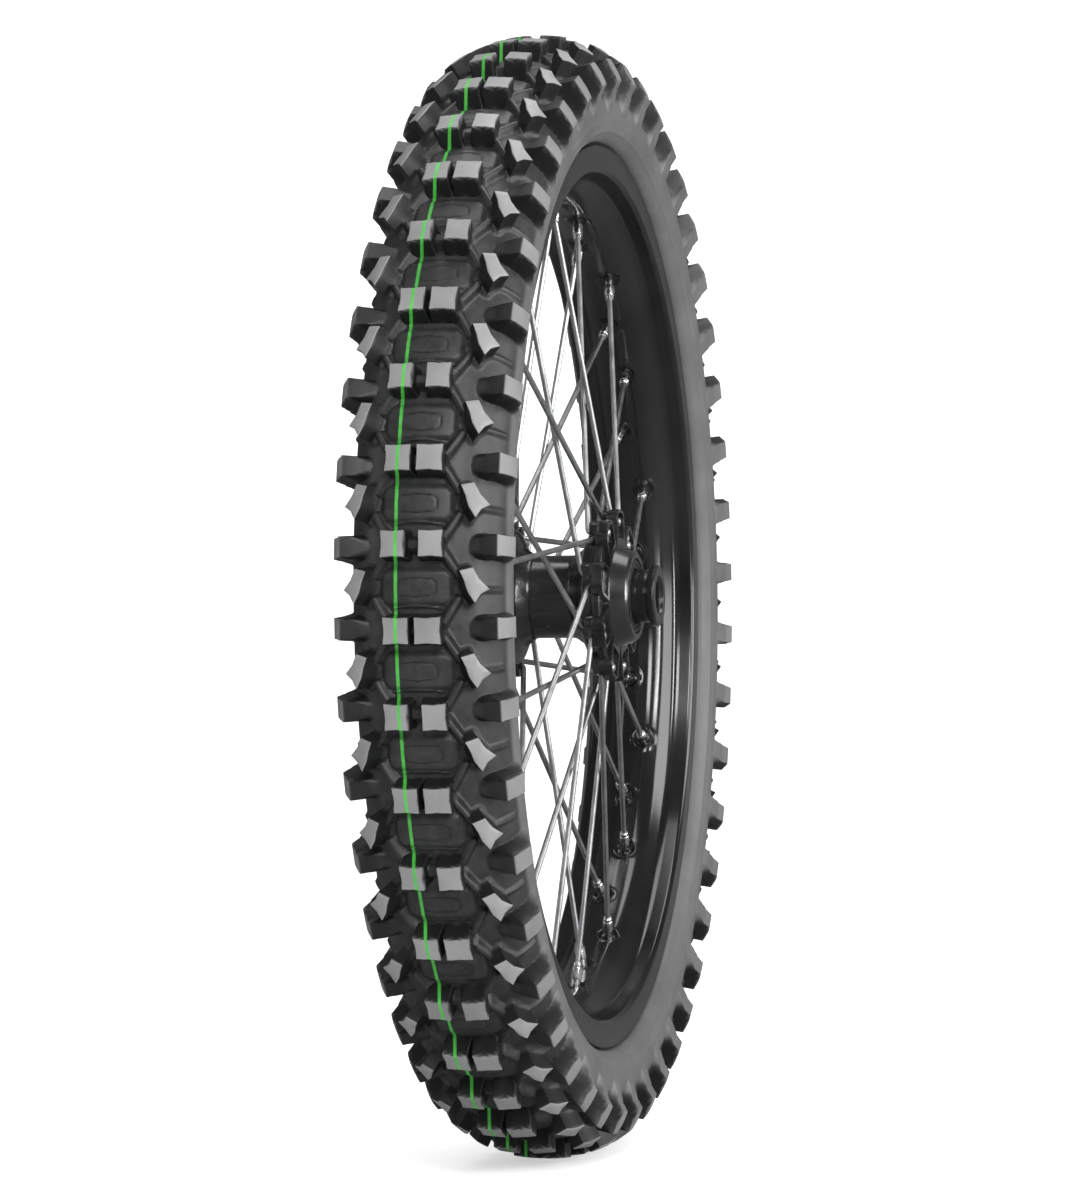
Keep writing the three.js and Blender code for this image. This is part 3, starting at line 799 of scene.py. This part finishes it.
def rim_section():
    """The filleted outline, with finer points across the well, where the dimples are."""
    outline = RIM_HALF + [(r, -y, corner) for r, y, corner in RIM_HALF[-2:0:-1]]
    section = np.array(fillet_table(outline, 8))
    dense = []
    for i, start in enumerate(section):
        end = section[(i + 1) % len(section)]
        dense.append(start)
        in_well = max(start[0], end[0]) < 253.3 and abs(start[1]) < 14 and abs(end[1]) < 14
        parts = int(np.linalg.norm(end - start) / (0.9 if in_well else 6.0))
        for k in range(1, parts):
            dense.append(start + (end - start) * k / parts)
    return np.array(dense)


def build_rim():
    section_r, section_y = rim_section().T
    angles = np.concatenate([rad(LEFT_LOBE + 360 / len(SPOKES) * k) + np.radians(NIPPLE_STATIONS)
                             for k in range(len(SPOKES))])
    radius = np.tile(section_r, (len(angles), 1))
    well = np.where((section_r < 253.8) & (np.abs(section_y) < 15))[0]
    for spoke in SPOKES:
        turn = (angles - spoke.rim_angle + pi) % (2 * pi) - pi
        near = np.where(np.abs(turn) < rad(3.5))[0]
        distance = np.hypot(turn[near][:, None] * 249.0, (section_y - spoke.nipple_y)[None, :])
        # a dimple pressed outwards, with a soft ring round it that stands towards the hub
        dimple = 2.1 * fade(distance, 4.3, 6.9) - 0.7 * np.exp(-((distance - 7.7) / 0.9) ** 2)
        radius[np.ix_(near, well)] += dimple[:, well]
    rim = link("rim_black", ring_mesh("rim_mesh", angles, radius, section_y))
    finish_piece(rim, "rim_anodised", "wheel", "rim", angle=40)


build_rim()

# ------------------------------------------------------------------ spokes and nipples
# (distance outside the flange face, radius) of a spoke's domed head
SPOKE_HEAD = [(2.35, 0.05), (2.3, 0.9), (2.05, 1.8), (1.6, 2.5), (1.0, 2.95), (0.45, 3.05),
              (0.32, 2.9), (0.15, 2.3), (-0.4, SPOKE_R)]
# (radius, distance past the rim's inner face): a collar, a hexagon, a shank and a domed head
NIPPLE = [
    (0, -14.4), (2.35, -14.4), (2.75, -14.0), (2.85, -12.8), (2.85, -11.9), (3.25, -11.4),
    (3.3, -11.0), (3.3, -4.4), (3.25, -4.0), (3.0, -3.6), (3.0, 4.8), (3.4, 5.2), (4.5, 6.6),
    (4.7, 7.2), (4.2, 7.9), (2.0, 8.1), (0, 8.1)]
NIPPLE_HEX_RINGS = (5, 6, 7)


def nipple_flats(phi, ring):
    if ring in NIPPLE_HEX_RINGS:
        from_flat = (phi % (pi / 3)) - pi / 6
        return np.minimum(1.0, 0.9 / np.cos(from_flat)) * 1.06
    return np.ones(len(phi))


def build_spoke(spoke):
    def over_hole(y):
        return at(spoke.hub_angle, HOLE_CIRCLE_R, spoke.side * y)

    rim_hole = at(spoke.rim_angle, WELL_INNER_R, spoke.nipple_y)
    elbow = over_hole(spoke.elbow)
    along = rim_hole - elbow
    along /= np.linalg.norm(along)
    path = [over_hole(FLANGE_FACE + out) for out, _ in SPOKE_HEAD]
    path.append(over_hole(spoke.elbow + 3.6))
    bend_start, bend_end = over_hole(spoke.elbow + 3.0), elbow + along * 3.4
    for t in np.linspace(0, 1, 10):
        path.append((1 - t) ** 2 * bend_start + 2 * t * (1 - t) * elbow + t ** 2 * bend_end)
    path += [elbow + along * distance for distance in (8, 30, 80, 140)]
    path.append(rim_hole - along * 1.5)
    radii = [radius for _, radius in SPOKE_HEAD]
    radii += [SPOKE_R] * (len(path) - len(radii))
    replaced = "spoke_" + spoke.tag
    wire = link("spoke_wire_" + spoke.tag, swept_mesh("wire_" + spoke.tag, path, radii))
    finish_piece(wire, "spoke_wire", "wheel", replaced, angle=50)
    mesh = turned_mesh("nip_" + spoke.tag, NIPPLE, rim_hole, along, 36, section=nipple_flats)
    nipple = link("nipple_" + spoke.tag, mesh)
    finish_piece(nipple, "nipple_plating", "wheel", replaced, angle=28)


for spoke in SPOKES:
    build_spoke(spoke)

# ------------------------------------------------------------------ hub
BOSS_R = 7.4  # bosses round the spoke holes, and the round corners of the lobes
LOBE_HALF_WIDTH = 10.7
# (radius, y, corner radius) from the right bearing seat, over the outside, to the left one
HUB = [
    (18.6, 33, 0.2), (21.3, 33, 0.2), (21.3, 46.8, 0.2), (23.6, 46.8, 0.2), (23.6, 51.6, 0.5),
    (26.8, 51.6, 0.7), (28.2, 49.8, 1.2), (33.4, FLANGE_FACE, 2.6), (47.4, FLANGE_FACE, 0.8),
    (48.4, 37.4, 0.8), (48.4, 33.6, 1.5), (43.0, 31.0, 3), (42.0, 25.0, 3), (31, 20.0, 5),
    (26, 13, 6), (26, -13, 6), (31, -20.0, 5), (42.0, -25.0, 3), (43.0, -31.0, 3),
    (48.4, -33.6, 1.5), (48.4, -37.4, 0.8), (47.4, -FLANGE_FACE, 0.8),
    (32.4, -FLANGE_FACE, 2.6), (27.6, -44.8, 1.0), (26.8, -46.0, 0.8), (23.6, -46.0, 0.4),
    (23.6, -44.0, 0.2), (21.3, -44.0, 0.2), (21.3, -31, 0.2), (18.6, -31, 0.2)]


def cylinder(angle, circle_r, radius, y0, y1, sides, bevel):
    """A cylinder along Y with rounded rims, standing on a circle round the axle."""
    low, high = min(y0, y1), max(y0, y1)
    outline = [(0, low), (radius - bevel, low), (radius - 0.25 * bevel, low + 0.25 * bevel),
               (radius, low + bevel), (radius, high - bevel),
               (radius - 0.25 * bevel, high - 0.25 * bevel), (radius - bevel, high), (0, high)]
    origin = at(angle, circle_r, 0)
    return turned_mesh("cylinder", outline, origin, (0, 1, 0), sides, ref=(1, 0, 0))


def lobe_prism(side, lobe_angle, inset, y0, y1, inner_r=30.0):
    """A lobe's outline, drawn in by inset, from y0 to y1."""
    outer_r, half = HOLE_CIRCLE_R + BOSS_R - inset, LOBE_HALF_WIDTH - inset
    corners = [(inner_r, -half), (outer_r, -half), (outer_r, half), (inner_r, half)]
    points = fillet(corners, [0.8, BOSS_R - inset, BOSS_R - inset, 0.8], steps=8)
    polar = [(math.hypot(x, y), lobe_angle + math.atan2(y, x)) for x, y in points]
    verts = [at(angle, radius, side * y) for y in (y0, y1) for radius, angle in polar]
    count = len(polar)
    step = np.arange(count)
    after = (step + 1) % count
    walls = np.stack([step, after, count + after, count + step], -1)
    return solid_mesh("prism", verts, [walls, step[None, ::-1], (count + step)[None, :]])


def build_hub():
    hub = link("hub_cast", lathe_mesh("hub", fillet_table(HUB, 5), 200))
    # bosses that reach in from the flanges to the elbows
    for lead in (1, -1):
        bosses = [cylinder(s.hub_angle, HOLE_CIRCLE_R, BOSS_R,
                           s.side * (s.elbow + SPOKE_R + 0.35), s.side * FLANGE_FACE, 44, 0.9)
                  for s in SPOKES if s.lead == lead]
        boolean(hub, joined("bosses", bosses), "UNION")
    # each lobe's outer face is a shallow pocket inside a raised lip
    places = [(side, rad(360 // LOBES * k + first))
              for side, first in ((1, RIGHT_LOBE), (-1, LEFT_LOBE)) for k in range(LOBES)]
    lobes = [lobe_prism(*p, 0.0, 34.0, 40.6) for p in places]
    lips = [lobe_prism(*p, 0.45, 40.0, 41.2) for p in places]
    pockets = [lobe_prism(*p, 2.1, FLANGE_FACE, 46, inner_r=36.2) for p in places]
    boolean(hub, joined("lobes", lobes), "UNION")
    boolean(hub, joined("lips", lips), "UNION")
    boolean(hub, joined("pockets", pockets), "DIFFERENCE")
    # brake disc seats stand proud of the left face, each with a hole
    seat_angles = [rad(60 * k + 20.6) for k in range(6)]
    seats = [cylinder(angle, 37.2, 6.6, -36, -42.0, 44, 0.6) for angle in seat_angles]
    holes = [cylinder(angle, 37.2, 3.0, -30, -46, 28, 0.1) for angle in seat_angles]
    boolean(hub, joined("seats", seats), "UNION")
    boolean(hub, joined("holes", holes), "DIFFERENCE")
    spoke_holes = [cylinder(s.hub_angle, HOLE_CIRCLE_R, 2.2, s.side * 20, s.side * 45, 24, 0.1)
                   for s in SPOKES]
    boolean(hub, joined("spoke_holes", spoke_holes), "DIFFERENCE")
    finish_piece(hub, "hub_coating", "wheel", "hub_shell", angle=34)


build_hub()


# ------------------------------------------------------------------ axle rings and bearings
def ring_piece(name, outline, material, body, replaced, corner, sides=160):
    ring = link(name, lathe_mesh(name, fillet(outline, corner), sides))
    finish_piece(ring, material, body, replaced)


def build_collar(side, tag, inner_y, outer_y=66.0):
    outline = [
        (11, inner_y), (16.6, inner_y), (16.6, outer_y - 7.0), (16.0, outer_y - 6.0),
        (16.0, outer_y - 5.2), (19.2, outer_y - 4.2), (19.2, outer_y - 0.9), (18.3, outer_y),
        (12.4, outer_y), (11.9, outer_y - 1.6), (11, outer_y - 2.4)]
    ring_piece("collar_" + tag, [(r, side * y) for r, y in outline], "collar_anodised",
               "axle_core", "axle_collar_" + tag, corner=0.35)


def build_seal(side, tag, inner_y):
    # (radius, distance outwards from inner_y)
    outline = [
        (23.2, 0), (23.2, 3.4), (22.6, 4.0), (20.9, 4.0), (20.4, 3.2), (18.9, 3.2),
        (17.7, 4.0), (17.2, 3.3), (17.8, 1.9), (17.2, 0.7), (17.6, 0)]
    ring_piece("seal_lip_" + tag, [(r, side * (inner_y + out)) for r, out in outline],
               "seal_rubber", "wheel", "oil_seal_" + tag, corner=0.25)


def build_bearing(tag, low_y, width=12):
    high_y, middle = low_y + width, low_y + width / 2
    # (offset along Y, depth) of the groove the balls run in
    groove = [(y, 1.2 * math.sqrt(max(0, 1 - (y / 2.6) ** 2))) for y in np.linspace(-2.5, 2.5, 11)]
    outer = [(21.0, low_y), (21.0, high_y), (18.6, high_y)]
    outer += [(18.6 + depth, middle - y) for y, depth in groove] + [(18.6, low_y)]
    ring_piece("race_outer_" + tag, outer, "bearing_steel", "wheel", "outer_race_" + tag,
               corner=0.25, sides=96)
    inner = [(12.5, high_y), (12.5, low_y), (15.0, low_y)]
    inner += [(15.0 - depth, middle + y) for y, depth in groove] + [(15.0, high_y)]
    ring_piece("race_inner_" + tag, inner, "bearing_steel", "axle_core", "inner_race_" + tag,
               corner=0.25, sides=96)
    ball_r = 2.55
    half_circle = [(0, -ball_r)] + [(ball_r * sin(t), -ball_r * cos(t))
                                    for t in np.linspace(0.2, pi - 0.2, 14)] + [(0, ball_r)]
    balls = [turned_mesh("ball", half_circle, at(2 * pi * k / BALLS, 16.75, middle), (0, 1, 0),
                         24, ref=(1, 0, 0)) for k in range(BALLS)]
    ribbon = [(16.1, middle - 1.3), (17.5, middle - 1.3), (17.5, middle + 1.3),
              (16.1, middle + 1.3)]
    cage = link("balls_and_cage_" + tag, lathe_mesh("cage", fillet(ribbon, 0.2, 2), 96))
    boolean(cage, joined("balls", balls), "UNION")
    finish_piece(cage, "bearing_steel", "cage_" + tag, "ball_cage_" + tag)


def build_circlip():
    """A thin ring with a gap at its top."""
    stations, half_gap = 90, rad(26) / 2
    angles = np.linspace(pi / 2 + half_gap, pi / 2 - half_gap + 2 * pi, stations)
    section = fillet([(18.7, 45.75), (21.0, 45.75), (21.0, 46.5), (18.7, 46.5)], 0.15, 2)
    verts = around_axle(angles, *np.array(section).T)
    end = np.arange(len(section))
    faces = [grid_faces(stations, len(section), wrap_rows=False), end[None, :],
             (end + (stations - 1) * len(section))[None, ::-1]]
    clip = link("circlip", solid_mesh("clip", verts, faces))
    finish_piece(clip, "bearing_steel", "wheel", "bearing_circlip")


build_collar(1, "right", 45.6)
build_collar(-1, "left", 43.6)
build_seal(1, "right", 47.1)
build_seal(-1, "left", 44.3)
build_bearing("right", 33.3)
build_bearing("left", -43.3)
ring_piece("axle_spacer_tube", [(11, -31), (14.6, -31), (14.6, 33), (11, 33)], "spacer_turned",
           "axle_core", "bearing_spacer", corner=0.5, sides=96)
build_circlip()

# ------------------------------------------------------------------ inner tube and rim band
VALVE_AXIS = at(VALVE_ANGLE, 1, 0)


def valve_turned(name, outline, sides, section=None):
    """Turned about the valve; heights are distances from the axle."""
    return turned_mesh(name, outline, (0, 0, 0), VALVE_AXIS, sides, section)


def tube_section(inset):
    """An oval, flatter towards the hub."""
    out = []
    for t in np.linspace(0, 2 * pi, 48, endpoint=False):
        half_width = 23.6 if sin(t) > 0 else 19.8
        out.append((297.5 + (27.0 - inset) * sin(t), (half_width - inset) * cos(t)))
    return out


def build_tube():
    tube = link("tube_shell", lathe_mesh("tube", tube_section(0.0), 180))
    core = link("tube_core", lathe_mesh("tubein", tube_section(2.2), 180))
    boolean(tube, core, "DIFFERENCE")
    bore = valve_turned("bore", [(0, 262), (3, 262), (3, 285), (0, 285)], 24)
    boolean(tube, link("tube_bore", bore), "DIFFERENCE")
    finish_piece(tube, "tube_rubber", "wheel", "inner_tube")


def build_band():
    section = fillet([(259.2, -9.6), (260.8, -9.6), (260.8, 9.6), (259.2, 9.6)], 0.4)
    band = link("rim_strip", lathe_mesh("band", section, 180))
    bore = valve_turned("bore2", [(0, 250), (4.6, 250), (4.6, 270), (0, 270)], 24)
    boolean(band, link("band_bore", bore), "DIFFERENCE")
    finish_piece(band, "band_rubber", "wheel", "rim_band")


build_tube()
build_band()


# ------------------------------------------------------------------ valve
def build_stem():
    # a fine thread for the cap, a coarser one for the nut, and a flat foot inside the tube
    outline = [(0, 223), (2.2, 223), (2.6, 223.4)]
    for k in range(9):
        outline += [(2.6, 224.0 + 0.8 * k), (2.35, 224.4 + 0.8 * k)]
    outline += [(2.6, 231.2), (3.5, 231.5)]
    for k in range(17):
        outline += [(3.9, 232.2 + 1.1 * k), (3.55, 232.75 + 1.1 * k)]
    outline += [(3.9, 251.4), (3.9, 266.6), (4.6, 267.2), (7.6, 267.4), (8.0, 267.9),
                (7.6, 268.5), (0, 268.6)]
    stem = link("valve_threaded_stem", valve_turned("stem", outline, 32))
    finish_piece(stem, "valve_nickel", "wheel", "valve_stem", angle=60)


def build_nut():
    low, high, flat_r, hole_r, sides = 243.6, 248.2, 6.2, 4.25, 72
    phi = np.arange(sides) * 2 * pi / sides
    from_flat = (phi % (pi / 3)) - pi / 6
    hexagon = np.minimum(flat_r / np.cos(from_flat), flat_r * 1.12)
    hole = np.full(sides, hole_r)
    rows = [(low, hexagon * 0.93), (low + 0.6, hexagon), (high - 0.6, hexagon),
            (high, hexagon * 0.93), (high, hole), (low, hole)]
    verts = [np.stack([radii * np.cos(phi), radii * np.sin(phi), np.full(sides, z)], -1)
             for z, radii in rows]
    verts = place(np.concatenate(verts), (0, 0, 0), VALVE_AXIS)
    nut = link("valve_hex_nut", solid_mesh("nut", verts, [grid_faces(len(rows), sides)]))
    finish_piece(nut, "nut_plating", "wheel", "valve_nut")


def build_cap():
    outline = [(0, 219), (3.6, 219), (4.4, 219.5), (5.0, 220.6), (5.0, 229.8), (4.8, 230.4),
               (3.0, 230.4), (3.0, 222.4), (0, 222.4)]

    def knurl(phi, ring):
        return 1 + (0.035 * np.cos(18 * phi) if ring == 3 else 0 * phi)
    cap = link("valve_dust_cap", valve_turned("cap", outline, 108, section=knurl))
    finish_piece(cap, "cap_plastic", "valve_cap_body", "valve_cap")


build_stem()
build_nut()
build_cap()


# ------------------------------------------------------------------ stage
def paper_material():
    """Off-white that glows a little to the camera and looks darker in reflections,
    so black finishes stay black."""
    material = surface("paper", dark=(0.86, 0.86, 0.86), light=(0.9, 0.9, 0.9),
                       rough=(0.75, 0.9), scale=2, fine=60, bump=0.02)
    tree = material.node_tree
    shader = next(node for node in tree.nodes if node.type == "BSDF_PRINCIPLED")
    ray = tree.nodes.new("ShaderNodeLightPath")
    glow = add_node(tree, "ShaderNodeMath", operation="MULTIPLY")
    feed(tree, glow.inputs[0], ray.outputs["Is Camera Ray"])
    feed(tree, glow.inputs[1], 0.5)
    tint = shader.inputs["Base Color"].links[0].from_socket
    colour = mix(tree, ray.outputs["Is Glossy Ray"], tint, (0.16, 0.16, 0.16, 1))
    set_inputs(tree, shader, Base_Color=colour, Emission_Color=(1, 1, 1, 1),
               Emission_Strength=glow.outputs[0])
    return material


def build_stage():
    """A floor under the tyre and a coved backdrop behind it, on the -X side."""
    floor_z = -(TYRE_R + 0.6)
    back_x, front_x, half_width, cove_r, wall_top = -2500, 6000, 3500, 600, 4200
    corners = [(back_x, -half_width, floor_z), (front_x, -half_width, floor_z),
               (front_x, half_width, floor_z), (back_x, half_width, floor_z)]
    floor = link("floor", mesh_from("floor", corners, [np.array([[0, 1, 2, 3]])]))
    curve = [(back_x - cove_r * sin(t), floor_z + cove_r - cove_r * cos(t))
             for t in np.linspace(0, pi / 2, 24)]
    curve.append((back_x - cove_r, wall_top))
    verts = [(x, y, z) for x, z in curve for y in (-half_width, half_width)]
    faces = np.array([[2 * i, 2 * i + 1, 2 * i + 3, 2 * i + 2] for i in range(len(curve) - 1)])
    backdrop = link("backdrop", mesh_from("backdrop", verts, [faces]))
    paper = paper_material()
    for sheet in (floor, backdrop):
        sheet.data.materials.append(paper)
        shade(sheet, None)


# ------------------------------------------------------------------ camera, world and lights
def build_camera(azimuth, elevation, distance, shift_right, shift_up):
    """Looks along -back from near the +X side; the shifts slide it in its own plane."""
    back = Vector((cos(azimuth) * cos(elevation), sin(azimuth) * cos(elevation), sin(elevation)))
    right = Vector((0, 0, 1)).cross(back).normalized()
    up = back.cross(right)
    position = back * distance + right * shift_right + up * shift_up
    data = bpy.data.cameras.new("camera")
    camera = link("camera", data)
    camera.matrix_world = Matrix((*zip(right, up, back, position), (0, 0, 0, 1)))
    data.sensor_fit = "AUTO"
    data.sensor_width = 36
    data.lens = 118.6
    data.clip_start = 0.05
    data.clip_end = 50
    bpy.context.scene.camera = camera


def build_world(seen, diffuse, glossy):
    """White, with one strength where the camera sees it and others for the light it gives."""
    world = bpy.data.worlds.new("studio")
    bpy.context.scene.world = world
    world.use_nodes = True
    tree = world.node_tree
    background = tree.nodes["Background"]
    background.inputs[0].default_value = (1, 1, 1, 1)
    ray = tree.nodes.new("ShaderNodeLightPath")
    unseen = map_range(tree, ray.outputs["Is Glossy Ray"], to_range=(diffuse, glossy))
    strength = map_range(tree, ray.outputs["Is Camera Ray"], to_range=(unseen, seen))
    tree.links.new(strength, background.inputs[1])


def add_area_light(name, where, size, power, look=(0, 0, 0)):
    data = bpy.data.lights.new(name, "AREA")
    data.shape = "RECTANGLE"
    data.size, data.size_y = size
    data.energy = power
    light = link(name, data)
    light.location = where
    aim = Vector(look) - Vector(where)
    light.rotation_euler = aim.to_track_quat("-Z", "Y").to_euler()


build_stage()
build_camera(azimuth=rad(13.5), elevation=rad(-2.3), distance=2.487,
             shift_right=-0.014, shift_up=-0.002)
build_world(seen=1.0, diffuse=0.34, glossy=0.11)
add_area_light("key", where=(2.9, 1.1, 1.3), size=(1.2, 1.2), power=62)
add_area_light("strip", where=(1.25, 2.5, 0.1), size=(0.28, 2.6), power=70, look=(-0.25, 0, 0))
add_area_light("side", where=(-0.4, 2.9, 0.7), size=(1.0, 1.6), power=34)
add_area_light("top", where=(-0.2, 0.2, 2.4), size=(1.8, 1.8), power=40)
add_area_light("left", where=(1.2, -2.6, 0.6), size=(0.5, 2.0), power=9)
bpy.context.scene.view_settings.view_transform = "Standard"
